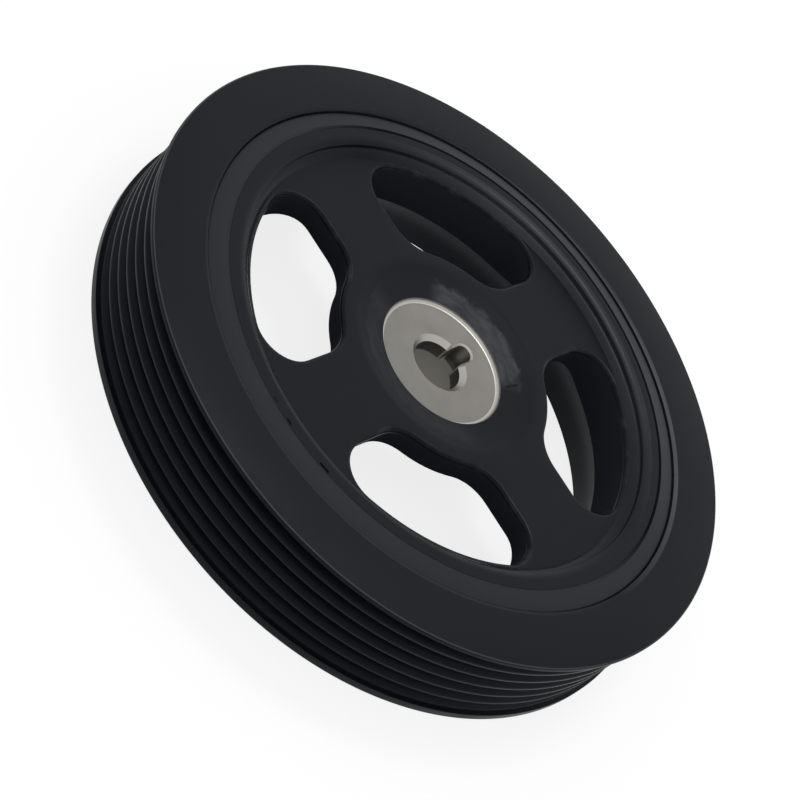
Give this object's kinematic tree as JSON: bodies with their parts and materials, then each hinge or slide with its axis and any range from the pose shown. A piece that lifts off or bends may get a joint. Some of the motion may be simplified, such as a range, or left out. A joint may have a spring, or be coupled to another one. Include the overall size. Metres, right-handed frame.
{
  "type": "harmonic balancer",
  "caption": "Crankshaft harmonic balancer and belt pulley: cast hub with kidney windows, bonded rubber ring and grooved inertia ring for a ribbed belt.",
  "frame": {"origin": "centre of the rear face, on the crank axis; the part lies on this face", "axes": "+Z along the crank axis, from the engine to the front, where the crank bolt seats; +Y towards the locating slot and its spoke; +X completes the right-handed frame"},
  "size_m": [0.154, 0.154, 0.0259],
  "materials": {
    "hub_iron": "black coated casting, bare machined bolt seat and bores",
    "rubber": "matte black moulded rubber",
    "ring_iron": "turned and black coated, satin"
  },
  "bodies": {
    "root": {"hub": "hub_iron", "rubber_ring": "rubber", "inertia_ring": "ring_iron"}
  },
  "joints": []
}
